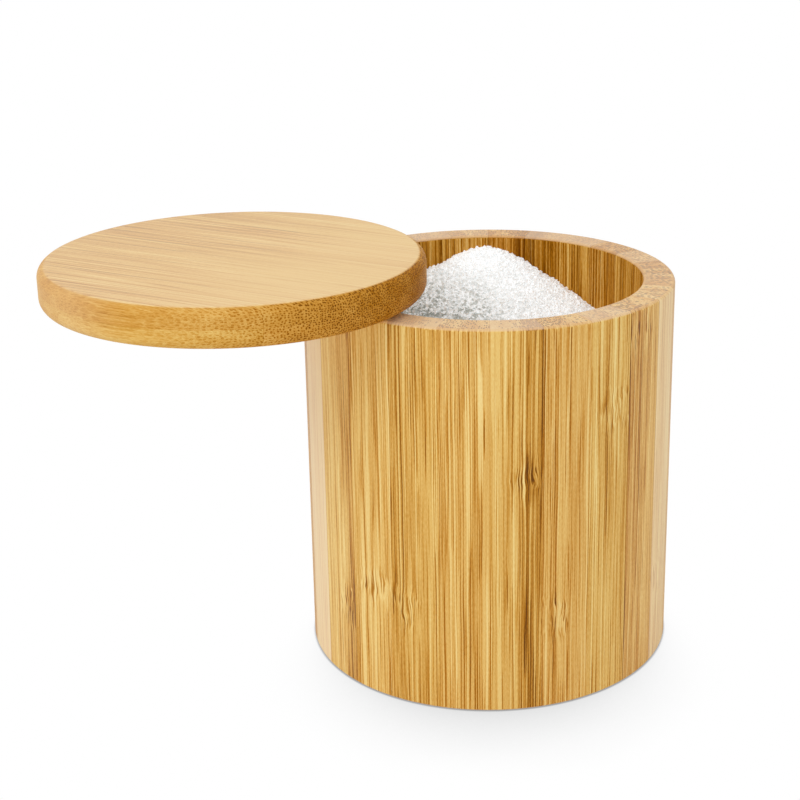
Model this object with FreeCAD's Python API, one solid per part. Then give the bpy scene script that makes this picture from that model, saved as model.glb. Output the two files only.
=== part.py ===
import FreeCAD, Part
import math
import os

# Round salt box of laminated bamboo with a flat lid that swivels on a hidden pin in the rim.
# Millimetres, +Z up. The origin is the centre of the underside, the front is towards -Y,
# and angles round the box are measured from +X, counterclockwise seen from above.

# box wall: upright staves glued edge to edge
body_diameter = 89.0
body_height = 92.0
wall_thickness = 7.6
stave_count = 24
first_joint_angle = 12.0    # where the joint before stave_01 lies
rim_round = 0.8             # eased edges of the rim, outside and inside
foot_round = 0.6            # eased outer edge of the foot

# base disc: glued into a rabbet from below, flush with the foot
base_thickness = 8.0
base_rabbet = 3.0           # how far the disc reaches under the wall
base_clearance = 0.1        # glue gap round the disc

# lid: two plies of flat strips, glued with their seams in line
lid_inset = 0.9             # how far the lid's edge stays inside the wall's, closed
lid_bottom_ply = 4.5
lid_top_ply = 4.5
lid_round = 2.3             # rounding of both lid edges
seam_pitch = 18.6           # width of an inner strip
seam_offset = 4.6           # first seam past the lid's centre, across the grain
seams_before = 2            # seams on the low side of that one
seams_after = 1             # seams on its high side
lid_grain_angle = 69.0      # direction of the strips with the lid closed

# swivel: a headed steel pin pressed into the rim, its head caught between the plies
pivot_angle = 152.0
pivot_depth = 4.5           # pin and catch, in from the outside of the wall
open_angle = 97.8           # how far the lid is swung open at rest
pin_diameter = 3.0
pin_depth = 14.0            # shank below the rim
pin_tip_chamfer = 0.4
pin_bore_spare = 0.6        # empty end of the bore under the tip
pin_head_diameter = 4.8
pin_head_thickness = 1.2
pin_lip = 2.8               # bamboo of the bottom ply under the head
running_clearance = 0.05    # between turning surfaces of the swivel
head_clearance = 0.25       # round the pin's head
washer_diameter = 4.6
washer_thickness = 0.5      # holds the lid off the rim
washer_clearance = 0.1      # washer hole round the shank

# catch: two equal magnets buried in the bamboo, one over the other when the lid is closed
magnet_diameter = 4.0
magnet_length = 3.0
magnet_cover = 1.0          # bamboo between each magnet and the face it works through
magnet_clearance = 0.1      # glue gap round the magnet and under it in the rim

# salt: coarse and loose, heaped against the back of the wall and kept below the rim
salt_clearance = 0.1        # between the salt and the wall
salt_drop = 17.0            # its level part, below the rim
heap_drop = 2.5             # top of the heap, below the rim
heap_inset = 0.4            # top of the heap, in from the inside of the wall
heap_angle = 87.0           # where on the wall the top lies
heap_tip_radius = 14.0
heap_slope = 24.2
heap_lean = 3.3             # the heap falls off faster towards +X than towards -X

# worked out from the sizes above
up = FreeCAD.Vector(0, 0, 1)
centre = FreeCAD.Vector(0, 0, 0)
body_radius = body_diameter / 2
inner_radius = body_radius - wall_thickness
stave_angle = 360.0 / stave_count
pivot_radius = body_radius - pivot_depth
lid_radius = body_radius - lid_inset
lid_underside = body_height + washer_thickness + running_clearance
lid_thickness = lid_bottom_ply + lid_top_ply
ply_seam = lid_underside + lid_bottom_ply


def polar(radius, angle, z=0.0):
    turn = math.radians(angle)
    return FreeCAD.Vector(radius * math.cos(turn), radius * math.sin(turn), z)


def section(points):
    """Close a half section in the XZ plane. A third number rounds that corner to its radius."""
    edges = []
    last = None
    first = None
    count = len(points)
    for index, point in enumerate(points):
        corner = FreeCAD.Vector(point[0], 0, point[1])
        start = end = corner
        if len(point) == 3:
            radius = point[2]
            before = points[index - 1]
            after = points[(index + 1) % count]
            back = (FreeCAD.Vector(before[0], 0, before[1]) - corner).normalize()
            ahead = (FreeCAD.Vector(after[0], 0, after[1]) - corner).normalize()
            start = corner + back * radius
            end = corner + ahead * radius
            middle = corner + (back + ahead) * (radius * (1 - math.sqrt(0.5)))
        if last:
            edges.append(Part.makeLine(last, start))
        if len(point) == 3:
            edges.append(Part.Arc(start, middle, end).toShape())
        first = first or start
        last = end
    edges.append(Part.makeLine(last, first))
    return Part.Face(Part.Wire(edges))


def drill(radius, place, low, high):
    """A round cutter or peg that stands upright at a place, from one height to another."""
    foot = FreeCAD.Vector(place.x, place.y, low)
    return Part.makeCylinder(radius, high - low, foot, up)


def cut_all(shape, cutters):
    for cutter in cutters:
        shape = shape.cut(cutter)
    return shape


pivot = polar(pivot_radius, pivot_angle)
# the magnets lie at the stave joint nearest to the point opposite the pivot
catch_joint = round((pivot_angle + 180 - first_joint_angle) / stave_angle)
catch = polar(pivot_radius, first_joint_angle + catch_joint * stave_angle)
pocket_radius = magnet_diameter / 2 + magnet_clearance
pocket_depth = magnet_length + magnet_clearance


def swing_open(shape):
    """Everything on the lid is built closed, then swung back about the pivot."""
    opened = shape.copy()
    opened.rotate(pivot, up, -open_angle)
    return opened


def make_staves():
    rabbet_radius = inner_radius + base_rabbet
    wall = section([
        (rabbet_radius, 0),
        (body_radius, 0, foot_round),
        (body_radius, body_height, rim_round),
        (inner_radius, body_height, rim_round),
        (inner_radius, base_thickness),
        (rabbet_radius, base_thickness),
    ])
    one_stave = wall.revolve(centre, up, stave_angle)
    pin_bore = drill(pin_diameter / 2, pivot, body_height - pin_depth - pin_bore_spare, body_height)
    pocket_top = body_height - magnet_cover
    magnet_pocket = drill(pocket_radius, catch, pocket_top - pocket_depth, pocket_top)
    staves = {}
    for number in range(stave_count):
        stave = one_stave.copy()
        stave.rotate(centre, up, first_joint_angle + number * stave_angle)
        staves[f"stave_{number + 1:02d}"] = cut_all(stave, [pin_bore, magnet_pocket])
    return staves


def make_base():
    radius = inner_radius + base_rabbet - base_clearance
    return {"base_disc": drill(radius, centre, 0, base_thickness)}


def make_swivel():
    """The pin stands in the rim; the washer lies round it and carries the lid."""
    head_low = lid_underside + pin_lip + running_clearance
    shank_radius = pin_diameter / 2
    half = section([
        (0, body_height - pin_depth),
        (shank_radius - pin_tip_chamfer, body_height - pin_depth),
        (shank_radius, body_height - pin_depth + pin_tip_chamfer),
        (shank_radius, head_low),
        (pin_head_diameter / 2, head_low),
        (pin_head_diameter / 2, head_low + pin_head_thickness),
        (0, head_low + pin_head_thickness),
    ])
    pin = half.revolve(centre, up, 360)
    pin.translate(pivot)
    washer_top = body_height + washer_thickness
    washer = drill(washer_diameter / 2, pivot, body_height, washer_top)
    washer = washer.cut(drill(shank_radius + washer_clearance, pivot, body_height, washer_top))
    return {"pivot_pin": pin, "pivot_washer": washer}


def make_magnets():
    rim_top = body_height - magnet_cover
    lid_low = lid_underside + magnet_cover
    return {
        "rim_magnet": drill(magnet_diameter / 2, catch, rim_top - magnet_length, rim_top),
        "lid_magnet": swing_open(drill(magnet_diameter / 2, catch, lid_low, lid_low + magnet_length)),
    }


def make_lid_strips():
    """Strips of both plies, numbered across the grain, cut from one disc with rounded edges."""
    disc = section([
        (0, lid_underside),
        (lid_radius, lid_underside, lid_round),
        (lid_radius, lid_underside + lid_thickness, lid_round),
        (0, lid_underside + lid_thickness),
    ]).revolve(centre, up, 360)
    seams = [seam_offset + step * seam_pitch for step in range(-seams_before, seams_after + 1)]
    limits = [-lid_radius] + seams + [lid_radius]
    plies = {
        "lid_bottom_strip": (lid_underside, lid_bottom_ply),
        "lid_top_strip": (ply_seam, lid_top_ply),
    }
    lip_top = lid_underside + pin_lip
    pocket_low = lid_underside + magnet_cover
    cutters = [
        drill(pin_diameter / 2 + running_clearance, pivot, lid_underside, lip_top),
        drill(pin_head_diameter / 2 + head_clearance, pivot, lip_top, ply_seam),
        drill(pocket_radius, catch, pocket_low, ply_seam),
    ]
    strips = {}
    for ply, (low, thickness) in plies.items():
        for number in range(len(limits) - 1):
            width = limits[number + 1] - limits[number]
            corner = FreeCAD.Vector(-lid_radius, limits[number], low)
            plank = Part.makeBox(2 * lid_radius, width, thickness, corner)
            plank.rotate(centre, up, lid_grain_angle)
            strip = disc.common(plank)
            if ply == "lid_bottom_strip":
                strip = cut_all(strip, cutters)
            strips[f"{ply}_{number + 1}"] = swing_open(strip)
    return strips


def make_salt():
    """The salt as one solid: level towards the front, a cone with a round tip at the back."""
    radius = inner_radius - salt_clearance
    level = body_height - salt_drop
    slope = math.radians(heap_slope)
    tip = body_height - heap_drop
    shoulder_x = heap_tip_radius * math.sin(slope)
    shoulder = tip - heap_tip_radius * (1 - math.cos(slope))
    middle_x = heap_tip_radius * math.sin(slope / 2)
    middle = tip - heap_tip_radius * (1 - math.cos(slope / 2))
    foot = (base_thickness + level) / 2
    foot_x = shoulder_x + (shoulder - foot) / math.tan(slope)
    axis_foot, rim_foot, bend, curve, top = (
        FreeCAD.Vector(x, 0, z)
        for x, z in ((0, foot), (foot_x, foot), (shoulder_x, shoulder), (middle_x, middle), (0, tip)))
    outline = Part.Wire([
        Part.makeLine(axis_foot, rim_foot),
        Part.makeLine(rim_foot, bend),
        Part.Arc(bend, curve, top).toShape(),
        Part.makeLine(top, axis_foot),
    ])
    heap = Part.Face(outline).revolve(centre, up, 360)
    heap.rotate(top, FreeCAD.Vector(0, 1, 0), heap_lean)
    heap.translate(polar(inner_radius - heap_inset, heap_angle))
    level_salt = drill(radius, centre, base_thickness, level)
    heaped_salt = drill(radius, centre, base_thickness, body_height).common(heap)
    return {"salt_heap": level_salt.fuse(heaped_salt).removeSplitter()}


def save(pieces):
    os.makedirs("parts", exist_ok=True)
    for node, shape in pieces.items():
        solid = shape.Solids[0] if len(shape.Solids) == 1 else shape
        solid.exportStep(f"parts/{node}.step")
        print(node, "solids", len(shape.Solids), "valid", shape.isValid(), "volume", round(shape.Volume, 1))


for make in (make_staves, make_base, make_swivel, make_magnets, make_lid_strips, make_salt):
    save(make())
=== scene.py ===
import bpy
import bmesh
import math
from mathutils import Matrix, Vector, noise


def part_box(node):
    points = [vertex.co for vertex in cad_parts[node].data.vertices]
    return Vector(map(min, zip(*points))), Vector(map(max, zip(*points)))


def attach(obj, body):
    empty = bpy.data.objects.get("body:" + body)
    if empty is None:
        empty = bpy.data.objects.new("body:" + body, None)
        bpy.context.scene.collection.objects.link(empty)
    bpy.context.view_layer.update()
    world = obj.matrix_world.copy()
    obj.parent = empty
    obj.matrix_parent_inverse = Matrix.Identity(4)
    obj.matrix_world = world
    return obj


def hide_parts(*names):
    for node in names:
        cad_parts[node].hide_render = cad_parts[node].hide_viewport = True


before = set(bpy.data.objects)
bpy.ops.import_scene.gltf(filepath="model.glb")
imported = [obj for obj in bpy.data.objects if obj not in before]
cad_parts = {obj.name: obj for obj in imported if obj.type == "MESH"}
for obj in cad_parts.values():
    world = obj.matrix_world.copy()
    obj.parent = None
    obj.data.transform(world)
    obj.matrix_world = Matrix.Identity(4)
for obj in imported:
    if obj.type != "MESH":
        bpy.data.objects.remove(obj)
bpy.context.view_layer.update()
scene = bpy.context.scene
mm = 0.001

# where the box and its lid stand, read from the frame, in millimetres
staveNames = sorted(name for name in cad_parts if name.startswith("stave_"))
lidNames = sorted(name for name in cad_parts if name.startswith("lid_") and "strip" in name)
staveBoxes = [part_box(name) for name in staveNames]
lidBoxes = [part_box(name) for name in lidNames]
rimHeight = max(high[2] for low, high in staveBoxes) / mm
bodyRadius = max(high[0] for low, high in staveBoxes) / mm
lidLow = min(low[2] for low, high in lidBoxes) / mm
lidHigh = max(high[2] for low, high in lidBoxes) / mm
lidEnds = [[min(low[axis] for low, high in lidBoxes) / mm, max(high[axis] for low, high in lidBoxes) / mm]
           for axis in (0, 1)]
lidCentre = [sum(ends) / 2 for ends in lidEnds]
saltRadius, saltTop = (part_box("salt_heap")[1][axis] / mm for axis in (0, 2))
saltGap = 0.1                         # between the salt and the wall
innerRadius = saltRadius + saltGap
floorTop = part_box("base_disc")[1][2] / mm
print("frame: rim at", round(rimHeight, 2), "mm, lid centre at", [round(c, 2) for c in lidCentre])

smooth = {"interpolation_type": "SMOOTHSTEP"}    # makes a Map Range node fade softly between its ends


def hexColour(code):
    # sRGB hex to the linear values that shaders want
    values = [int(code[i:i + 2], 16) / 255 for i in (1, 3, 5)]
    linear = [v / 12.92 if v <= 0.04045 else ((v + 0.055) / 1.055) ** 2.4 for v in values]
    return (*linear, 1.0)


def addNode(tree, kind, inputs=(), **settings):
    # one node with its settings; an input is a plain value, a socket, or a node for its first output
    node = tree.nodes.new(kind)
    for name, value in settings.items():
        setattr(node, name, value)
    for key, value in inputs.items() if isinstance(inputs, dict) else enumerate(inputs):
        if isinstance(value, bpy.types.Node):
            value = value.outputs[0]
        if isinstance(value, bpy.types.NodeSocket):
            tree.links.new(value, node.inputs[key])
        else:
            node.inputs[key].default_value = value
    return node


def fillRamp(ramp, stops, interpolation="LINEAR"):
    ramp.interpolation = interpolation
    while len(ramp.elements) < len(stops):
        ramp.elements.new(0.5)
    for element, (place, colour) in zip(ramp.elements, stops):
        element.position = place
        element.color = colour


def newMaterial(name):
    material = bpy.data.materials.new(name)
    material.use_nodes = True
    tree = material.node_tree
    tree.nodes.clear()
    shader = tree.nodes.new("ShaderNodeBsdfPrincipled")
    output = tree.nodes.new("ShaderNodeOutputMaterial")
    tree.links.new(shader.outputs[0], output.inputs[0])
    return material, tree, shader


def millimetres(tree):
    # the object's own coordinates, in millimetres
    place = addNode(tree, "ShaderNodeTexCoord").outputs["Object"]
    return addNode(tree, "ShaderNodeVectorMath", {0: place, 3: 1 / mm}, operation="SCALE")


def squareness(tree, axis):
    # how squarely the surface faces an axis: 0 edge on, 1 square on
    facing = addNode(tree, "ShaderNodeTexCoord").outputs["Normal"]
    square = addNode(tree, "ShaderNodeVectorMath", (facing, axis), operation="DOT_PRODUCT")
    return addNode(tree, "ShaderNodeMath", (square.outputs["Value"],), operation="ABSOLUTE")


def dress(names, material):
    for name in names:
        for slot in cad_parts[name].material_slots:
            slot.material = material


# Bamboo: pale wood with bundles of dark fibres in it. Cut across they are dots, and cut along
# they are thin dark lines with tapered ends. They crowd towards the skin side of a strip.
# Sizes are in mm, those in pairs across and along the grain. The bundles, streaks and pores of
# real bamboo are finer still, and are drawn as coarse as they need to be to show. A shade is a
# share of the way from the palest tone to the darkest. A span is where something begins and
# where it is full: of a noise between 0 and 1, or of what the note says.
bambooFibre = {
    "bundleSpacing": 0.54,
    "bundleStray": 0.6,              # 0 stands them in rows, 1 strews them
    "bundleRadius": (0.28, 0.06),    # shares of the spacing: the least, and what the boldest have more
    "bundleBold": (0.5, 0.3),        # and how dark they are, in the same way
    "bundleShade": 0.33,
    "bundleEdge": (0.04, -0.08),     # span, of the way out past its radius
    "bundleFade": (0.04, -0.04),     # span, of its chance less the density: it fades in between
    "sinkSize": (2.6, 36.0),
    "sink": 1.3,                     # how far a bundle strays in depth, so it comes and goes in a cut
    "driftSize": (7.0, 30.0),
    "drift": 0.8,                    # how far fibres drift sideways
    "streakSize": (0.46, 75.0),      # dark and pale streaks between the bundles
    "darkSpan": (0.055, 0.02),       # of the noise's distance from 0.5
    "paleSpan": (0.58, 0.63),
    "streakShades": (0.20, -0.17),
    "bandSize": (3.4, 900.0),        # bands of one tone with crisp edges
    "bandShade": 0.10,
    "cloudSize": (4.0, 50.0),        # slow changes of tone
    "cloudShade": 0.3,
    "poreSize": (0.16, 0.96),        # the finest speckle
    "poreShade": 0.30,
    "knotReach": (1.5, 8.0),         # how far from its middle a knot begins and ceases to fade
    "knotPatches": (3.2, 9.0),       # it shows in patches, which are paler and full of short ticks
    "patchSpan": (0.42, 0.54),
    "knotShade": -0.15,
    "tickSize": (0.42, 7.0),
    "tickSpan": (0.50, 0.58),
    "tickShade": 0.44,
    "swirlSize": (3.0, 7.0),
    "swirl": 2.2,                    # how far fibres swing round a knot
    "skinSpan": (0.85, 0.89),        # of the density of the bundles
    "skinShade": 0.20,
    "skinStreaks": 0.3,              # streaks are this much bolder under the skin
    "skinKnotShade": 0.17,
    "seamReach": (0.20, 0.06),       # the thin dark line of glue between two strips
    "seamShade": 0.20,
    "boardShift": (17.31, 5.77, 41.3),   # moves the pattern on for each strip
    "tones": [(0.0, "#F8DF98"), (0.25, "#ECC574"), (0.5, "#D49D45"), (0.75, "#AE6F10"), (1.0, "#6C3E08")],
    "hueMiddle": 0.499,              # 0.5 leaves the hue as it is
    "hueSpread": 0.004,              # strips differ a little, from yellower to pinker
    "roughness": (0.36, 0.14),       # the least, and what a streak adds
    "heights": (-0.6, 0.5),          # bundles stand lower, and streaks higher
}


def fibreGroup(settings):
    group = bpy.data.node_groups.new("bambooFibre", "ShaderNodeTree")
    for name in ("Across", "Depth", "Along", "Board", "Tone", "Density", "Skin", "Contrast", "Fibres",
                 "Streaks", "Knot", "Seam", "Pale"):
        group.interface.new_socket(name, in_out="INPUT", socket_type="NodeSocketFloat")
    group.interface.new_socket("Pale colour", in_out="INPUT", socket_type="NodeSocketColor")
    group.interface.new_socket("Colour", in_out="OUTPUT", socket_type="NodeSocketColor")
    group.interface.new_socket("Roughness", in_out="OUTPUT", socket_type="NodeSocketFloat")
    group.interface.new_socket("Height", in_out="OUTPUT", socket_type="NodeSocketFloat")
    given = group.nodes.new("NodeGroupInput").outputs
    board = given["Board"]
    across, depth, along = (
        addNode(group, "ShaderNodeMath", (board, step, given[name]), operation="MULTIPLY_ADD")
        for name, step in zip(("Across", "Depth", "Along"), settings["boardShift"]))

    def stretched(width, run, sideways=across, inward=depth):
        point = addNode(group, "ShaderNodeCombineXYZ", (sideways, inward, along))
        return addNode(group, "ShaderNodeVectorMath", (point, (1 / width, 1 / width, 1 / run)),
                       operation="MULTIPLY")

    def cloud(size, detail=1.0, sideways=across):
        inputs = {"Vector": stretched(*size, sideways), "Scale": 1.0, "Detail": detail}
        return addNode(group, "ShaderNodeTexNoise", inputs)

    # fibres drift a little everywhere, and swing round a knot
    knotNear = addNode(group, "ShaderNodeMapRange", (given["Knot"], *settings["knotReach"], 1.0, 0.0),
                       **smooth)
    patches = addNode(group, "ShaderNodeMapRange", (cloud(settings["knotPatches"]), *settings["patchSpan"]),
                      **smooth)
    knotPatch = addNode(group, "ShaderNodeMath", (knotNear, patches), operation="MULTIPLY")
    drift = addNode(group, "ShaderNodeMath", (cloud(settings["driftSize"], 2.0), settings["drift"],
                                              -settings["drift"] / 2), operation="MULTIPLY_ADD")
    swirl = addNode(group, "ShaderNodeMath", (cloud(settings["swirlSize"]), settings["swirl"],
                                              -settings["swirl"] / 2), operation="MULTIPLY_ADD")
    moved = addNode(group, "ShaderNodeMath", (across, drift), operation="ADD")
    moved = addNode(group, "ShaderNodeMath", (swirl, knotPatch, moved), operation="MULTIPLY_ADD")
    sunk = addNode(group, "ShaderNodeMath", (cloud(settings["sinkSize"]), settings["sink"], depth),
                   operation="MULTIPLY_ADD")

    # what lies between the bundles
    slow = cloud(settings["cloudSize"], 2.0, moved)
    streak = cloud(settings["streakSize"], 1.0, moved)
    pores = cloud(settings["poreSize"], 1.0, moved)
    middle = addNode(group, "ShaderNodeMath", (streak, 0.5), operation="SUBTRACT")
    middle = addNode(group, "ShaderNodeMath", (middle,), operation="ABSOLUTE")
    darkStreak = addNode(group, "ShaderNodeMapRange", (middle, *settings["darkSpan"]), **smooth)
    paleStreak = addNode(group, "ShaderNodeMapRange", (streak, *settings["paleSpan"]), **smooth)
    bands = addNode(group, "ShaderNodeTexVoronoi", {
        "Vector": stretched(*settings["bandSize"]), "Scale": 1.0})
    band = addNode(group, "ShaderNodeSeparateColor", (bands.outputs["Color"],))

    # the bundles: cells across the grain, of which as many are filled as the density says
    cells = addNode(group, "ShaderNodeTexVoronoi", {
        "Vector": stretched(settings["bundleSpacing"], 1.0, moved, sunk), "Scale": 1.0,
        "Randomness": settings["bundleStray"]}, voronoi_dimensions="2D")
    chance, boldness = addNode(group, "ShaderNodeSeparateColor", (cells.outputs["Color"],)).outputs[:2]
    spare = addNode(group, "ShaderNodeMath", (chance, given["Density"]), operation="SUBTRACT")
    present = addNode(group, "ShaderNodeMapRange", (spare, *settings["bundleFade"]), **smooth)
    least, more = settings["bundleRadius"]
    radius = addNode(group, "ShaderNodeMath", (boldness, more, least), operation="MULTIPLY_ADD")
    outside = addNode(group, "ShaderNodeMath", (cells.outputs["Distance"], radius), operation="SUBTRACT")
    bundle = addNode(group, "ShaderNodeMapRange", (outside, *settings["bundleEdge"]), **smooth)
    least, more = settings["bundleBold"]
    bold = addNode(group, "ShaderNodeMath", (boldness, more, least), operation="MULTIPLY_ADD")
    for share in (bold, present):
        bundle = addNode(group, "ShaderNodeMath", (bundle, share), operation="MULTIPLY")

    ticks = cloud(settings["tickSize"], 1.0, moved)
    ticks = addNode(group, "ShaderNodeMapRange", (ticks, *settings["tickSpan"]), **smooth)
    ticks = addNode(group, "ShaderNodeMath", (ticks, knotPatch), operation="MULTIPLY")
    skin = addNode(group, "ShaderNodeMapRange", (given["Density"], *settings["skinSpan"]), **smooth)
    skin = addNode(group, "ShaderNodeMath", (skin, given["Skin"]), operation="MULTIPLY")
    skinKnot = addNode(group, "ShaderNodeMath", (skin, knotNear), operation="MULTIPLY")
    seam = addNode(group, "ShaderNodeMapRange", (given["Seam"], *settings["seamReach"]), **smooth)

    # how dark the wood is: 0 is the palest, 1 the darkest
    darkShade, paleShade = settings["streakShades"]
    streaks = addNode(group, "ShaderNodeMath", (darkStreak, darkShade), operation="MULTIPLY")
    streaks = addNode(group, "ShaderNodeMath", (paleStreak, paleShade, streaks), operation="MULTIPLY_ADD")
    streakiness = addNode(group, "ShaderNodeMath", (skin, settings["skinStreaks"], given["Streaks"]),
                          operation="MULTIPLY_ADD")
    fibres = addNode(group, "ShaderNodeMath", (bundle, settings["bundleShade"]), operation="MULTIPLY")
    fibres = addNode(group, "ShaderNodeMath", (fibres, given["Fibres"]), operation="MULTIPLY")
    detail = addNode(group, "ShaderNodeMath", (streaks, streakiness, fibres), operation="MULTIPLY_ADD")
    shades = ((band, settings["bandShade"]), (slow, settings["cloudShade"]), (pores, settings["poreShade"]))
    for part, shade in shades:
        detail = addNode(group, "ShaderNodeMath", (part, shade, detail), operation="MULTIPLY_ADD")
    # these three lie round 0.5, so half of each is taken off again
    half = sum(shade for part, shade in shades) / 2
    detail = addNode(group, "ShaderNodeMath", (detail, half), operation="SUBTRACT")
    dark = addNode(group, "ShaderNodeMath", (detail, given["Contrast"], given["Tone"]),
                   operation="MULTIPLY_ADD")
    for part, shade in ((skin, "skinShade"), (skinKnot, "skinKnotShade"), (ticks, "tickShade"),
                        (knotPatch, "knotShade"), (seam, "seamShade")):
        dark = addNode(group, "ShaderNodeMath", (part, settings[shade], dark), operation="MULTIPLY_ADD")

    toned = addNode(group, "ShaderNodeValToRGB", (dark,))
    fillRamp(toned.color_ramp, [(place, hexColour(code)) for place, code in settings["tones"]])
    mixed = addNode(group, "ShaderNodeMix", {0: given["Pale"], 6: toned, 7: given["Pale colour"]},
                    data_type="RGBA")
    boardChance = addNode(group, "ShaderNodeTexWhiteNoise", {"W": board}, noise_dimensions="1D")
    spread = settings["hueSpread"]
    hue = addNode(group, "ShaderNodeMath", (boardChance, spread, settings["hueMiddle"] - spread / 2),
                  operation="MULTIPLY_ADD")
    colour = addNode(group, "ShaderNodeHueSaturation", {"Hue": hue, "Color": mixed.outputs[2]})
    least, more = settings["roughness"]
    roughness = addNode(group, "ShaderNodeMath", (streak, more, least), operation="MULTIPLY_ADD")
    bundleHeight, streakHeight = settings["heights"]
    height = addNode(group, "ShaderNodeMath", (streak, streakHeight), operation="MULTIPLY")
    height = addNode(group, "ShaderNodeMath", (bundle, bundleHeight, height), operation="MULTIPLY_ADD")
    addNode(group, "NodeGroupOutput", {"Colour": colour, "Roughness": roughness, "Height": height})
    return group


def finishBamboo(tree, shader, group, settings, inputs, dull):
    fibre = addNode(tree, "ShaderNodeGroup", inputs, node_tree=group)
    bump = addNode(tree, "ShaderNodeBump", {
        "Distance": settings["bumpDepth"] * mm, "Height": fibre.outputs["Height"]})
    # a rubbed oil finish, and none where the wood was left rough
    gloss = settings["gloss"]
    oiled = addNode(tree, "ShaderNodeMath", (dull, -gloss, gloss), operation="MULTIPLY_ADD")
    tree.links.new(fibre.outputs["Colour"], shader.inputs["Base Color"])
    tree.links.new(fibre.outputs["Roughness"], shader.inputs["Roughness"])
    tree.links.new(bump.outputs[0], shader.inputs["Normal"])
    tree.links.new(oiled.outputs[0], shader.inputs["Specular IOR Level"])
    shader.inputs["IOR"].default_value = settings["ior"]


# Staves of the wall, in turn from the first joint. Each has its tone (0 pale, 1 dark), the
# side its skin is on (0 none, 1 high angle, -1 low angle), the height of a knot in mm or 0 for
# none, and how far it is drawn paler. On most staves that is bleaching, but on the staves at
# the two sides it is painted sheen.
wall = {
    "firstJoint": 12.0,          # degrees
    "bumpDepth": 0.02,           # mm
    "gloss": 0.14,               # of the oiled wood: its specular level
    "ior": 1.45,
    "crowding": 0.62,            # share of the bundles that show on a stave's middle
    "skinReach": 1.6,            # how fast they crowd towards its skin side
    "knotAside": 0.4,            # a knot lies this share of the stave's width towards its skin
    "knotWidth": 6.0,            # mm
    "knotRound": 1.5,            # how much faster it fades sideways than upwards
    "contrast": 1.12,
    "rimContrast": 2.7,
    "rimSpan": (0.3, 0.8),       # how squarely it faces up, on the rim's rounded edges
    "sawnSpan": (0.985, 1.0),    # and on its flat top
    "rimFibres": 4.6,            # the bundles are dots on the rim, bolder than the lines
    "rimStretch": 0.4,           # and are drawn longer from edge to edge than they are, so that they show
    "rimStreaks": 0.3,           # streaks hardly show there
    "rimSheen": (0.36, 0.64),     # painted sheen: the sawn rim is drawn pale, some staves more than others
    # the colour of the rim's painted sheen
    "rimSheenColour": "#E8C9AA",
    # bleached staves, and painted sheen on the staves at the sides
    "bleachAndSheenColour": "#F6E2CA",
    "insideContrast": 1.3,
    "insideShade": 0.12,          # the bored inside stays rough; it is drawn darker as painted shade of the deep box
    "insideReach": (0.4, 0.1),   # mm past the inner radius, where the inside begins
    "staves": [
        (0.42, 0.3, 30, 0.1), (0.50, -0.5, 70, 0.0), (0.38, 0.4, 0, 0.1), (0.52, 0.8, 52, 0.0),
        (0.45, -0.8, 0, 0.0), (0.36, 0.2, 20, 0.1), (0.50, 0.6, 64, 0.0), (0.44, -0.6, 0, 0.1),
        (0.40, 0.5, 40, 0.0), (0.52, -0.4, 80, 0.0), (0.38, 0.3, 12, 0.1), (0.42, 0.7, 0, 0.2),
        (0.04, 0.3, 0, 0.52), (0.20, 0.9, 20, 0.05), (0.27, 0.3, 27, 0.0), (0.36, -0.5, 24, 0.0),
        (0.32, -0.3, 0, 0.0), (0.32, 1.0, 57, 0.0), (0.35, -0.6, 23, 0.0), (0.31, 0.5, 70, 0.0),
        (0.35, -0.65, 86, 0.05), (0.20, -0.2, 22, 0.35), (0.40, 0.5, 50, 0.2), (0.46, -0.5, 0, 0.1),
    ],
}
noKnotHere = 500.0               # mm, farther than any knot's mark reaches


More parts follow.
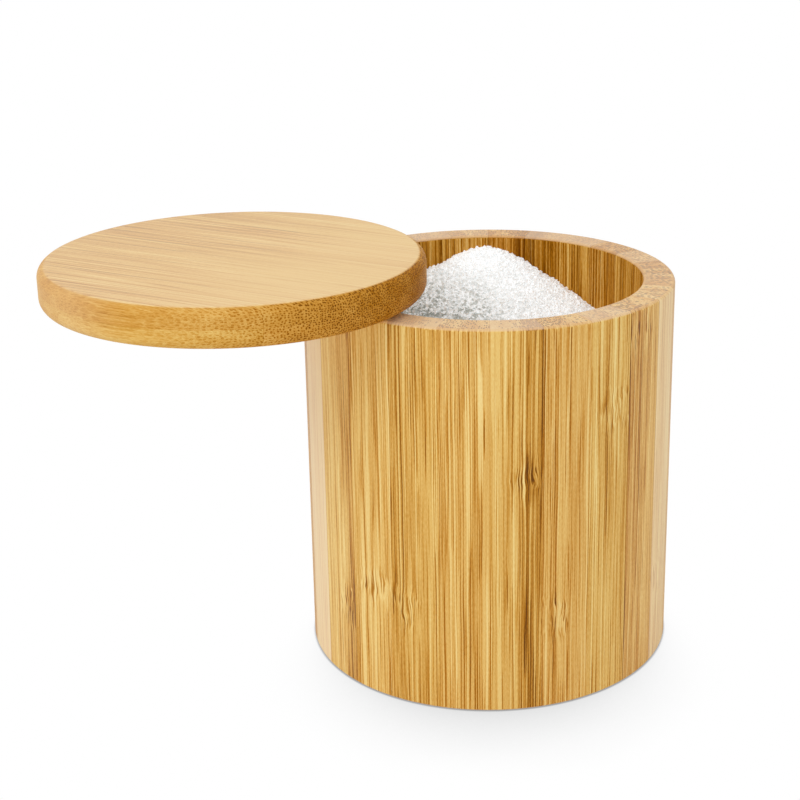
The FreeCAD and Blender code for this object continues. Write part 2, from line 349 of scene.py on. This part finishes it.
def wallBamboo(settings, group):
    # upright strips, sanded and oiled: satin, so the edges of the round turn pale, and paler still by
    # painted sheen on the side staves and the rim
    material, tree, shader = newMaterial("wallBamboo")
    count = len(settings["staves"])
    staveAngle = 2 * math.pi / count
    staveWidth = staveAngle * bodyRadius
    x, y, z = addNode(tree, "ShaderNodeSeparateXYZ", (millimetres(tree),)).outputs

    # which stave this is, and where on it
    flat = addNode(tree, "ShaderNodeCombineXYZ", (x, y))
    radius = addNode(tree, "ShaderNodeVectorMath", (flat,), operation="LENGTH").outputs["Value"]
    angle = addNode(tree, "ShaderNodeMath", (y, x), operation="ARCTAN2")
    turned = addNode(tree, "ShaderNodeMath", (angle, math.radians(settings["firstJoint"])),
                     operation="SUBTRACT")
    turned = addNode(tree, "ShaderNodeMath", (turned, staveAngle), operation="DIVIDE")
    turned = addNode(tree, "ShaderNodeMath", (turned, float(count)), operation="FLOORED_MODULO")
    board = addNode(tree, "ShaderNodeMath", (turned,), operation="FLOOR")
    share = addNode(tree, "ShaderNodeMath", (turned, board), operation="SUBTRACT")
    across = addNode(tree, "ShaderNodeMath", (share, staveWidth), operation="MULTIPLY")
    rest = addNode(tree, "ShaderNodeMath", (1.0, share), operation="SUBTRACT")
    toJoint = addNode(tree, "ShaderNodeMath", (share, rest), operation="MINIMUM")
    toJoint = addNode(tree, "ShaderNodeMath", (toJoint, staveWidth), operation="MULTIPLY")

    # one ramp holds each stave's tone, skin side, knot height and bleaching
    tallest = 100.0              # mm, the height that a full share stands for
    stops = [(i / count, (tone, skin / 2 + 0.5, knot / tallest, bleachAndSheen))
             for i, (tone, skin, knot, bleachAndSheen) in enumerate(settings["staves"])]
    turn = addNode(tree, "ShaderNodeMath", (board, 0.5), operation="ADD")
    turn = addNode(tree, "ShaderNodeMath", (turn, float(count)), operation="DIVIDE")
    pick = addNode(tree, "ShaderNodeValToRGB", (turn,))
    fillRamp(pick.color_ramp, stops, "CONSTANT")
    staveTone, skinSide, knotShare = addNode(tree, "ShaderNodeSeparateColor", (pick,)).outputs
    lean = addNode(tree, "ShaderNodeMath", (skinSide, 0.5), operation="SUBTRACT")
    lean = addNode(tree, "ShaderNodeMath", (lean, 2.0), operation="MULTIPLY")
    leaning = addNode(tree, "ShaderNodeMath", (share, 0.5), operation="SUBTRACT")
    leaning = addNode(tree, "ShaderNodeMath", (leaning, lean), operation="MULTIPLY")
    crowded = addNode(tree, "ShaderNodeMath", (leaning, settings["skinReach"], settings["crowding"]),
                      operation="MULTIPLY_ADD")
    # a lean over a half gives the stave a band of dark skin, a smaller one at most a paler edge
    skin = addNode(tree, "ShaderNodeMath", (lean,), operation="ABSOLUTE")
    skin = addNode(tree, "ShaderNodeMath", (skin, 2.0, -1.0), operation="MULTIPLY_ADD")

    # how far it is to the stave's knot
    knotHeight = addNode(tree, "ShaderNodeMath", (knotShare, tallest), operation="MULTIPLY")
    noKnot = addNode(tree, "ShaderNodeMath", (knotHeight, 1.0), operation="LESS_THAN")
    rise = addNode(tree, "ShaderNodeMath", (z, knotHeight), operation="SUBTRACT")
    rise = addNode(tree, "ShaderNodeMath", (rise,), operation="ABSOLUTE")
    aside = addNode(tree, "ShaderNodeMath", (lean, settings["knotAside"], 0.5), operation="MULTIPLY_ADD")
    aside = addNode(tree, "ShaderNodeMath", (share, aside), operation="SUBTRACT")
    aside = addNode(tree, "ShaderNodeMath", (aside,), operation="ABSOLUTE")
    aside = addNode(tree, "ShaderNodeMath", (aside, staveWidth, -settings["knotWidth"] / 2),
                    operation="MULTIPLY_ADD")
    aside = addNode(tree, "ShaderNodeMath", (aside, 0.0), operation="MAXIMUM")
    knot = addNode(tree, "ShaderNodeMath", (aside, settings["knotRound"], rise), operation="MULTIPLY_ADD")
    knot = addNode(tree, "ShaderNodeMath", (noKnot, noKnotHere, knot), operation="MULTIPLY_ADD")

    # the rim with its rounded edges, its flat sawn part, and the bored inside
    level = squareness(tree, (0, 0, 1))
    rim = addNode(tree, "ShaderNodeMapRange", (level, *settings["rimSpan"]), **smooth)
    sawn = addNode(tree, "ShaderNodeMapRange", (level, *settings["sawnSpan"]), **smooth)
    far, near = (innerRadius + reach for reach in settings["insideReach"])
    upright = addNode(tree, "ShaderNodeMath", (1.0, rim), operation="SUBTRACT")
    inside = addNode(tree, "ShaderNodeMapRange", (radius, far, near), **smooth)
    inside = addNode(tree, "ShaderNodeMath", (inside, upright), operation="MULTIPLY")
    stretch = addNode(tree, "ShaderNodeMath", (rim, settings["rimStretch"] - 1, 1.0),
                      operation="MULTIPLY_ADD")
    depth = addNode(tree, "ShaderNodeMath", (radius, bodyRadius), operation="SUBTRACT")
    depth = addNode(tree, "ShaderNodeMath", (depth, stretch), operation="MULTIPLY")
    tone = addNode(tree, "ShaderNodeMath", (inside, settings["insideShade"], staveTone),
                   operation="MULTIPLY_ADD")
    contrast = addNode(tree, "ShaderNodeMapRange", (sawn, 0.0, 1.0, settings["contrast"],
                                                    settings["rimContrast"]), **smooth)
    contrast = addNode(tree, "ShaderNodeMath", (inside, settings["insideContrast"] - settings["contrast"],
                                                contrast), operation="MULTIPLY_ADD")
    streaks = addNode(tree, "ShaderNodeMath", (rim, settings["rimStreaks"] - 1, 1.0),
                      operation="MULTIPLY_ADD")
    fibres = addNode(tree, "ShaderNodeMath", (sawn, settings["rimFibres"] - 1, 1.0),
                     operation="MULTIPLY_ADD")

    # drawn paler outside: bleached on most staves, painted sheen on those at the sides, and painted sheen
    # on the rim
    outside = addNode(tree, "ShaderNodeMath", (1.0, inside), operation="SUBTRACT")
    bleachAndSheen = addNode(tree, "ShaderNodeMath", (pick.outputs[1], outside), operation="MULTIPLY")
    chance = addNode(tree, "ShaderNodeTexWhiteNoise", {"W": board}, noise_dimensions="1D")
    rimSheen = addNode(tree, "ShaderNodeMapRange", (chance, 0.0, 1.0, *settings["rimSheen"]), **smooth)
    rimSheen = addNode(tree, "ShaderNodeMath", (rim, rimSheen), operation="MULTIPLY")
    pale = addNode(tree, "ShaderNodeMath", (bleachAndSheen, rimSheen), operation="MAXIMUM")
    bleachAndSheenColour, rimSheenColour = hexColour(settings["bleachAndSheenColour"]), hexColour(settings["rimSheenColour"])
    # the colour of the painted sheen: whitish on the side staves, warmer on the rim
    sheenColour = addNode(tree, "ShaderNodeMix", {0: rim, 6: bleachAndSheenColour, 7: rimSheenColour}, data_type="RGBA")
    finishBamboo(tree, shader, group, settings, {
        "Across": across, "Depth": depth, "Along": z, "Board": board, "Tone": tone, "Density": crowded,
        "Skin": skin, "Contrast": contrast, "Fibres": fibres, "Streaks": streaks, "Knot": knot,
        "Seam": toJoint, "Pale": pale, "Pale colour": sheenColour.outputs[2],
    }, inside)
    return material


# Flat strips of the lid and the base, laid side by side with their broad faces up. Unless the
# note says more, a span is a stretch along the grain, in mm from the middle.
lid = {
    "grainAngle": -28.8,         # degrees, at rest
    "seamPitch": 18.6,           # mm
    "seamOffset": 4.6,           # mm, of the first seam past the middle
    "seamFaint": 0.1,            # mm, makes the glue lines of the flat strips fainter
    "bumpDepth": 0.02,           # mm
    "gloss": 0.14,               # of the oiled wood: its specular level
    "ior": 1.45,
    "edgeDull": 0.8,             # the sawn edge soaks up most of the oil
    "tone": 0.20,
    "toneSpread": 0.08,          # strips differ a little
    "faceShade": 0.18,           # the face is browner towards one end
    "faceShadeSpan": (30.0, -40.0),
    "faceSpan": (0.90, 0.99),    # how squarely it faces up
    "faceContrasts": (0.7, 1.4),     # and streakier
    "faceContrastSpan": (24.0, -6.0),
    # painted sheen: the broad face, which faces up, is drawn paler by this share, in this colour
    "faceSheen": 0.46,
    "sheenColour": "#EACBA4",
    "edgeTones": (0.41, 0.70),   # the edge turns from gold to brown along the grain, as the end grain is darker; the darkest brown, at the end by the box, is painted shade
    "edgeToneSpan": (22.0, 50.0),
    # painted highlight: the edge is drawn paler towards its gold end
    "edgeSheen": 0.28,
    "edgeSheenSpan": (5.0, -15.0),
    "edgeFibres": (0.45, 2.1),   # its dots grow bolder towards one end of the grain
    "edgeFibreSpan": (8.0, 56.0),
    "farFibres": 1.1,            # and show again at the other, where the grain is cut across too
    "farFibreSpan": (-26.0, -42.0),
    "edgeStreaks": 0.3,          # streaks hardly show there
    "faceCrowding": 0.35,
    "edgeCrowding": 1.1,
}


def stripBamboo(name, settings, centre, low, high, group):
    # pale satin faces with fine lines, paler still by painted sheen; the duller sawn ends show the bundles
    # as dots, with a painted highlight towards one end
    material, tree, shader = newMaterial(name)
    grain = math.radians(settings["grainAngle"])
    start = addNode(tree, "ShaderNodeVectorMath", (millimetres(tree), (*centre, low)), operation="SUBTRACT")
    turned = addNode(tree, "ShaderNodeMapping", {"Vector": start, "Rotation": (0, 0, -grain)})
    along, across, depth = addNode(tree, "ShaderNodeSeparateXYZ", (turned,)).outputs

    # which strip this is, in which ply, and how far the nearest seam is
    strips = addNode(tree, "ShaderNodeMath", (across, settings["seamOffset"]), operation="SUBTRACT")
    strips = addNode(tree, "ShaderNodeMath", (strips, settings["seamPitch"]), operation="DIVIDE")
    strip = addNode(tree, "ShaderNodeMath", (strips,), operation="FLOOR")
    share = addNode(tree, "ShaderNodeMath", (strips, strip), operation="SUBTRACT")
    rest = addNode(tree, "ShaderNodeMath", (1.0, share), operation="SUBTRACT")
    toSeam = addNode(tree, "ShaderNodeMath", (share, rest), operation="MINIMUM")
    toSeam = addNode(tree, "ShaderNodeMath", (toSeam, settings["seamPitch"], settings["seamFaint"]),
                     operation="MULTIPLY_ADD")
    ply = addNode(tree, "ShaderNodeMath", (depth, (high - low) / 2), operation="GREATER_THAN")
    plyStrips, firstStrip = 9.0, 40.0        # keep the numbers apart from each other and from the staves'
    board = addNode(tree, "ShaderNodeMath", (ply, plyStrips, strip), operation="MULTIPLY_ADD")
    board = addNode(tree, "ShaderNodeMath", (board, firstStrip), operation="ADD")
    chance = addNode(tree, "ShaderNodeTexWhiteNoise", {"W": board}, noise_dimensions="1D")

    # the broad face against the edge, and how both change along the grain
    level = squareness(tree, (0, 0, 1))
    face = addNode(tree, "ShaderNodeMapRange", (level, *settings["faceSpan"]), **smooth)
    edge = addNode(tree, "ShaderNodeMath", (1.0, face), operation="SUBTRACT")
    edgeTone, edgeFibres, edgeSheen, farFibres, faceTone, faceContrast = (
        addNode(tree, "ShaderNodeMapRange", (along, *settings[span], first, last), **smooth)
        for span, first, last in (
            ("edgeToneSpan", *settings["edgeTones"]), ("edgeFibreSpan", *settings["edgeFibres"]),
            ("edgeSheenSpan", 0.0, settings["edgeSheen"]), ("farFibreSpan", 0.0, settings["farFibres"]),
            ("faceShadeSpan", settings["tone"], settings["tone"] + settings["faceShade"]),
            ("faceContrastSpan", *settings["faceContrasts"])))
    edgeFibres = addNode(tree, "ShaderNodeMath", (edgeFibres, farFibres), operation="ADD")
    spread = settings["toneSpread"]
    change = addNode(tree, "ShaderNodeMath", (chance, spread, -spread / 2), operation="MULTIPLY_ADD")
    faceTone = addNode(tree, "ShaderNodeMath", (faceTone, change), operation="ADD")
    # the paleness is painted sheen on the face and a painted highlight on the edge
    tone, contrast, fibres, pale = (
        addNode(tree, "ShaderNodeMapRange", (face, 0.0, 1.0, onEdge, onFace))
        for onEdge, onFace in ((edgeTone, faceTone), (1.0, faceContrast), (edgeFibres, 1.0),
                               (edgeSheen, settings["faceSheen"])))
    crowded = addNode(tree, "ShaderNodeMapRange", (face, 0.0, 1.0, settings["edgeCrowding"],
                                                   settings["faceCrowding"]), **smooth)
    streaks = addNode(tree, "ShaderNodeMath", (edge, settings["edgeStreaks"] - 1, 1.0),
                      operation="MULTIPLY_ADD")
    dull = addNode(tree, "ShaderNodeMath", (edge, settings["edgeDull"]), operation="MULTIPLY")
    finishBamboo(tree, shader, group, settings, {
        "Across": across, "Depth": depth, "Along": along, "Board": board, "Tone": tone, "Density": crowded,
        "Skin": 0.0, "Contrast": contrast, "Fibres": fibres, "Streaks": streaks, "Knot": noKnotHere,
        "Seam": toSeam, "Pale": pale, "Pale colour": hexColour(settings["sheenColour"]),
    }, dull)
    return material


# What is hidden inside. The pin is ground steel, grey, with fine marks that blur what it mirrors.
# The magnets' nickel plate is warmer and brighter, the nylon of the washer milky and half dull.
hardware = {
    "groundSteel": {"pieces": ["pivot_pin"], "colour": "#B9BABC", "metallic": 1.0,
                    "marksPerMm": 6.0, "roughness": (0.2, 0.2)},      # the least, and what a mark adds
    "nickelPlate": {"pieces": ["rim_magnet", "lid_magnet"], "colour": "#C9C5BB", "metallic": 1.0,
                    "marksPerMm": 1.5, "roughness": (0.12, 0.1)},
    "naturalNylon": {"pieces": ["pivot_washer"], "colour": "#E6E3D8", "metallic": 0.0,
                     "marksPerMm": 4.0, "roughness": (0.4, 0.15)},
}


def dressHardware():
    for name, settings in hardware.items():
        material, tree, shader = newMaterial(name)
        marks = addNode(tree, "ShaderNodeTexNoise", {
            "Vector": millimetres(tree), "Scale": settings["marksPerMm"], "Detail": 2.0})
        least, more = settings["roughness"]
        rough = addNode(tree, "ShaderNodeMath", (marks, more, least), operation="MULTIPLY_ADD")
        tree.links.new(rough.outputs[0], shader.inputs["Roughness"])
        shader.inputs["Base Color"].default_value = hexColour(settings["colour"])
        shader.inputs["Metallic"].default_value = settings["metallic"]
        dress(settings["pieces"], material)


baseGrain = {"grainAngle": 20.0}     # the base is made of the same strips, laid another way
group = fibreGroup(bambooFibre)
dress(staveNames, wallBamboo(wall, group))
dress(lidNames, stripBamboo("lidBamboo", lid, lidCentre, lidLow, lidHigh, group))
dress(["base_disc"], stripBamboo("baseBamboo", lid | baseGrain, (0, 0), 0, floorTop, group))
dressHardware()
print("materials done")


# Coarse salt, heaped against the back wall and kept under the rim so that the lid passes over it.
salt = {
    "tipAngle": 87.0,            # degrees, where on the wall the heap is highest
    "tipInset": 0.4,             # mm, in from the wall
    "tipSoft": 3.0,              # mm, how rounded it is
    "slope": 0.449,
    "lean": 0.057,               # falls off faster to the right
    "levelDrop": 17.0,           # mm, the level part below the rim
    "leastDrop": 2.0,            # mm, the heap's top below the rim at the least, without its lumps
    "sink": 0.4,                 # mm, the surface lies lower, as the crystals stand out from it
    "lumps": ((7.0, 0.7, 2.0), (2.0, 0.35, 5.0)),    # mm across, mm high, and a layer of the noise
    "rings": 60,
    "spokes": 160,
    "grain": 0.62,               # mm
    "grainSides": (1.0, 0.9, 0.75),
    "grainSizes": (0.55, 1.5),   # the smallest and the largest, against that
    "grainTurns": (6.28, 6.28, 6.28),    # radians, so that one may lie any way round
    "grainsPerArea": 2.6,        # per square millimetre
    "seed": 7,
    "whiteColour": "#FFFFFF",
    "saltShadeColour": "#8E8B76",    # painted shade, warmed by a painted bounce from the wood, low on the left of the heap
    "shadeDepths": (5.0, 14.0),  # mm below the rim, where the painted shade begins and is full
    "shadeSpan": (15.0, -20.0),  # mm from the right to the left, likewise
    "shadeShares": (0.06, 1.1),
    "shadeLeast": 0.08,
    "shadeMore": 0.88,           # and what is added to that where the painted shade is full
    "shadeBorderPerMm": 0.11,           # patches that shift the border of the painted shade
    "shadeBorderShift": 36.0,           # mm
    "tintsPerMm": 1.4,           # small cells, each with a chance of its own to take the painted shade
    "tintSpread": (0.2, 0.9),    # span of that chance
    "roughness": 0.2,
    "ior": 1.54,
    "saltGlow": (0.8, 0.93, 1.0, 1.0),   # painted light: a faint bluish glow of the salt's own
    "saltGlowStrength": 0.10,
}


def saltHeight(x, y):
    reach = innerRadius - salt["tipInset"]
    tip = math.radians(salt["tipAngle"])
    east, north = x - reach * math.cos(tip), y - reach * math.sin(tip)
    away = math.hypot(east, north, salt["tipSoft"]) - salt["tipSoft"]
    heap = saltTop - salt["slope"] * away - salt["lean"] * east
    level = rimHeight - salt["levelDrop"]
    surface = level + math.log1p(math.exp(heap - level))     # the higher of the two, with a soft foot
    lumps = sum(noise.noise(Vector((x / across, y / across, layer))) * high
                for across, high, layer in salt["lumps"])
    return min(surface, rimHeight - salt["leastDrop"]) + lumps - salt["sink"]


def makeSaltBed():
    rings, spokes = salt["rings"], salt["spokes"]
    points = [(0.0, 0.0)]
    for ring in range(1, rings + 1):
        radius = saltRadius * ring / rings
        turns = [2 * math.pi * i / spokes for i in range(spokes)]
        points += [(radius * math.cos(turn), radius * math.sin(turn)) for turn in turns]
    verts = [(x * mm, y * mm, saltHeight(x, y) * mm) for x, y in points]
    faces = [(0, 1 + i, 1 + (i + 1) % spokes) for i in range(spokes)]
    for ring in range(rings - 1):
        a, b = 1 + ring * spokes, 1 + (ring + 1) * spokes
        faces += [(a + i, b + i, b + (i + 1) % spokes, a + (i + 1) % spokes) for i in range(spokes)]
    mesh = bpy.data.meshes.new("salt_bed")
    mesh.from_pydata(verts, [], faces)
    bed = bpy.data.objects.new("salt_bed", mesh)
    scene.collection.objects.link(bed)
    return bed


def saltCrystals():
    # glossy crystals, white on the heap, with painted shade low on the left: greyer and warmer, where the
    # lid and the rim shade it
    material, tree, shader = newMaterial("coarseSalt")
    place = millimetres(tree)
    x, y, z = addNode(tree, "ShaderNodeSeparateXYZ", (place,)).outputs
    begin, most = (rimHeight - depth for depth in salt["shadeDepths"])
    low = addNode(tree, "ShaderNodeMapRange", (z, begin, most), **smooth)
    borderNoise = addNode(tree, "ShaderNodeTexNoise", {"Vector": place, "Scale": salt["shadeBorderPerMm"], "Detail": 2.0})
    shift = salt["shadeBorderShift"]
    shifted = addNode(tree, "ShaderNodeMath", (borderNoise, shift, -shift / 2), operation="MULTIPLY_ADD")
    shifted = addNode(tree, "ShaderNodeMath", (shifted, x), operation="ADD")
    left = addNode(tree, "ShaderNodeMapRange", (shifted, *salt["shadeSpan"], *salt["shadeShares"]),
                   **smooth)
    # painted shade: how far the salt is drawn grey here
    clear = addNode(tree, "ShaderNodeMath", (low, left), operation="MULTIPLY")
    clear = addNode(tree, "ShaderNodeMath", (clear, salt["shadeMore"], salt["shadeLeast"]),
                    operation="MULTIPLY_ADD")
    tints = addNode(tree, "ShaderNodeTexVoronoi", {"Vector": place, "Scale": salt["tintsPerMm"]})
    tint = addNode(tree, "ShaderNodeSeparateColor", (tints.outputs["Color"],))
    tint = addNode(tree, "ShaderNodeMapRange", (tint, *salt["tintSpread"]), **smooth)
    tint = addNode(tree, "ShaderNodeMath", (tint, clear), operation="MULTIPLY")
    mixed = addNode(tree, "ShaderNodeMix", {
        0: tint, 6: hexColour(salt["whiteColour"]), 7: hexColour(salt["saltShadeColour"])}, data_type="RGBA")
    tree.links.new(mixed.outputs[2], shader.inputs["Base Color"])
    shader.inputs["Roughness"].default_value = salt["roughness"]
    shader.inputs["IOR"].default_value = salt["ior"]
    # painted light: the salt glows a little, though it is no lamp
    shader.inputs["Emission Color"].default_value = salt["saltGlow"]
    shader.inputs["Emission Strength"].default_value = salt["saltGlowStrength"]
    return material


def grainTree(material):
    # crystals strewn over a surface, as many and as large as the inputs say
    tree = bpy.data.node_groups.new("saltGrains", "GeometryNodeTree")
    tree.interface.new_socket("Geometry", in_out="INPUT", socket_type="NodeSocketGeometry")
    identifiers = {}
    for name, kind in (("Grain size", "NodeSocketFloat"), ("Grains per square metre", "NodeSocketFloat"),
                       ("Seed", "NodeSocketInt")):
        socket = tree.interface.new_socket(name, in_out="INPUT", socket_type=kind)
        identifiers[name] = socket.identifier
    tree.interface.new_socket("Geometry", in_out="OUTPUT", socket_type="NodeSocketGeometry")
    given = tree.nodes.new("NodeGroupInput").outputs
    points = addNode(tree, "GeometryNodeDistributePointsOnFaces", {
        "Mesh": given["Geometry"], "Density": given["Grains per square metre"], "Seed": given["Seed"]})
    crystal = addNode(tree, "GeometryNodeMeshCube", {"Size": salt["grainSides"]})
    turn = addNode(tree, "FunctionNodeRandomValue", {0: (0, 0, 0), 1: salt["grainTurns"]},
                   data_type="FLOAT_VECTOR")
    smallest, largest = salt["grainSizes"]
    size = addNode(tree, "FunctionNodeRandomValue", {2: smallest, 3: largest}, data_type="FLOAT")
    scale = addNode(tree, "ShaderNodeMath", (size.outputs[1], given["Grain size"]), operation="MULTIPLY")
    placed = addNode(tree, "GeometryNodeInstanceOnPoints", {
        "Points": points, "Instance": crystal, "Rotation": turn, "Scale": scale})
    real = addNode(tree, "GeometryNodeRealizeInstances", (placed,))
    both = addNode(tree, "GeometryNodeJoinGeometry")
    for part in (given["Geometry"], real.outputs[0]):
        tree.links.new(part, both.inputs[0])
    painted = addNode(tree, "GeometryNodeSetMaterial", {"Geometry": both, "Material": material})
    addNode(tree, "NodeGroupOutput", (painted,))
    return tree, identifiers


def closeBelow(mesh):
    # sides and an underside down to the box's floor, so that the salt is a closed body
    shell = bmesh.new()
    shell.from_mesh(mesh)
    openLoops = [edge.link_loops[0] for edge in shell.edges if edge.is_boundary]
    surface, ring = openLoops[0].face, [openLoops[0].vert]
    following = {loop.vert: loop.link_loop_next.vert for loop in openLoops}
    while following[ring[-1]] != ring[0]:
        ring.append(following[ring[-1]])
    lowRing = [shell.verts.new((vert.co.x, vert.co.y, floorTop * mm)) for vert in ring]
    for i in range(len(ring)):
        shell.faces.new((ring[i], ring[i - 1], lowRing[i - 1], lowRing[i]), surface)
    shell.faces.new(lowRing[::-1], surface)
    shell.to_mesh(mesh)
    shell.free()


def fillWithSalt():
    bed = makeSaltBed()
    tree, identifiers = grainTree(saltCrystals())
    modifier = bed.modifiers.new("grains", "NODES")
    modifier.node_group = tree
    modifier[identifiers["Grain size"]] = salt["grain"] * mm
    modifier[identifiers["Grains per square metre"]] = salt["grainsPerArea"] / mm ** 2
    modifier[identifiers["Seed"]] = salt["seed"]
    evaluated = bed.evaluated_get(bpy.context.evaluated_depsgraph_get())
    mesh = bpy.data.meshes.new_from_object(evaluated)
    bed.modifiers.remove(modifier)
    closeBelow(mesh)
    bed.data = mesh
    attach(bed, "box")
    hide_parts("salt_heap")
    print("salt:", len(mesh.polygons), "faces")


fillWithSalt()


# A white sweep in a bright white room, with one soft lamp in front on the left, above the box.
studio = {
    "floorColour": "#F4F4F4",
    "floorRoughness": 0.9,
    "floorReach": 4.0,                   # m, from the middle to each side
    "shadowReach": 40.0,                 # mm, how far the soft shadow spreads from what stands there
    "shadowDepth": 0.40,                 # share of the white that it takes away
    "shadowLean": (0.0, 0.85, 0.53),     # towards the light that it is hidden from
    "contactReach": 0.9,                 # mm, and the thin painted contact shadow where it touches the floor
    "contactSpan": (0.85, 0.4),          # how open the floor is where that shadow begins and is full
    "contactDepth": 0.5,
    "roomLight": 0.82,
    "lampPower": 5.0,                    # W
    "lampSize": 0.9,                     # m
    "lampPlace": (-0.7, -0.75, 1.1),
    "lampAim": (0.0, 0.0, 0.05),
}


def makeFloor():
    # matt white paper: seen from the camera it is plain white, but for the shadow that it keeps
    material, tree, shader = newMaterial("whiteSweep")
    shader.inputs["Base Color"].default_value = hexColour(studio["floorColour"])
    shader.inputs["Roughness"].default_value = studio["floorRoughness"]
    lean = addNode(tree, "ShaderNodeCombineXYZ", studio["shadowLean"])
    hidden = addNode(tree, "ShaderNodeAmbientOcclusion", {
        "Distance": studio["shadowReach"] * mm, "Normal": lean})
    openFloor = (1 + studio["shadowLean"][2]) / 2        # what the floor leaves of that half sphere
    shadow = addNode(tree, "ShaderNodeMapRange", (hidden.outputs["AO"], openFloor, 0.0), **smooth)
    shadow = addNode(tree, "ShaderNodeMath", (shadow, -studio["shadowDepth"], 1.0),
                     operation="MULTIPLY_ADD")
    # painted contact shadow: a thin dark line where the box stands on the floor
    touching = addNode(tree, "ShaderNodeAmbientOcclusion", {"Distance": studio["contactReach"] * mm})
    line = addNode(tree, "ShaderNodeMapRange", (touching.outputs["AO"], *studio["contactSpan"]), **smooth)
    line = addNode(tree, "ShaderNodeMath", (line, -studio["contactDepth"], 1.0), operation="MULTIPLY_ADD")
    strength = addNode(tree, "ShaderNodeMath", (shadow, line), operation="MULTIPLY")
    seen = addNode(tree, "ShaderNodeEmission", {"Strength": strength})
    ray = addNode(tree, "ShaderNodeLightPath").outputs
    pick = addNode(tree, "ShaderNodeMixShader", (ray["Is Camera Ray"], shader, seen))
    tree.links.new(pick.outputs[0], tree.nodes["Material Output"].inputs[0])

    reach = studio["floorReach"]
    corners = [(-reach, -reach, 0), (reach, -reach, 0), (reach, reach, 0), (-reach, reach, 0)]
    mesh = bpy.data.meshes.new("floor")
    mesh.from_pydata(corners, [], [(0, 1, 2, 3)])
    mesh.materials.append(material)
    floor = bpy.data.objects.new("floor", mesh)
    scene.collection.objects.link(floor)


def makeRoom():
    # plain white where it is seen or mirrored, and a little less bright as a light
    world = bpy.data.worlds.new("whiteRoom")
    world.use_nodes = True
    scene.world = world
    tree = world.node_tree
    background = tree.nodes["Background"]
    background.inputs["Color"].default_value = (1, 1, 1, 1)
    ray = addNode(tree, "ShaderNodeLightPath").outputs
    seen = ray["Is Camera Ray"]
    for other in ("Is Glossy Ray", "Is Transmission Ray"):
        seen = addNode(tree, "ShaderNodeMath", (seen, ray[other]), operation="MAXIMUM")
    roomLight = studio["roomLight"]
    strength = addNode(tree, "ShaderNodeMath", (seen, 1.0 - roomLight, roomLight), operation="MULTIPLY_ADD")
    tree.links.new(strength.outputs[0], background.inputs["Strength"])


def makeLamp():
    lamp = bpy.data.objects.new("softbox", bpy.data.lights.new("softbox", "AREA"))
    lamp.data.energy = studio["lampPower"]
    lamp.data.size = studio["lampSize"]
    lamp.location = studio["lampPlace"]
    lamp.rotation_euler = (Vector(studio["lampAim"]) - lamp.location).to_track_quat("-Z", "Y").to_euler()
    scene.collection.objects.link(lamp)


makeFloor()
makeRoom()
makeLamp()
print("studio done")


# The camera stands level, a little to the left of the front, and looks down on the box.
view = {
    "place": (-20.7, -360.5, 192.8),     # mm
    "heading": 3.62,                     # degrees to the right of +Y
    "tilt": 17.09,                       # degrees down
    "lens": 70.28,                       # mm
    "shift": (-0.122, -0.107),
    "nearest": 0.01,                     # m, nothing nearer is drawn
}


def makeCamera():
    camera = bpy.data.objects.new("camera", bpy.data.cameras.new("camera"))
    camera.data.lens = view["lens"]
    camera.data.shift_x, camera.data.shift_y = view["shift"]
    camera.data.clip_start = view["nearest"]
    camera.location = Vector(view["place"]) * mm
    camera.rotation_euler = (math.radians(90 - view["tilt"]), 0, -math.radians(view["heading"]))
    scene.collection.objects.link(camera)
    scene.camera = camera


makeCamera()
scene.view_settings.view_transform = "Standard"
print("camera done")
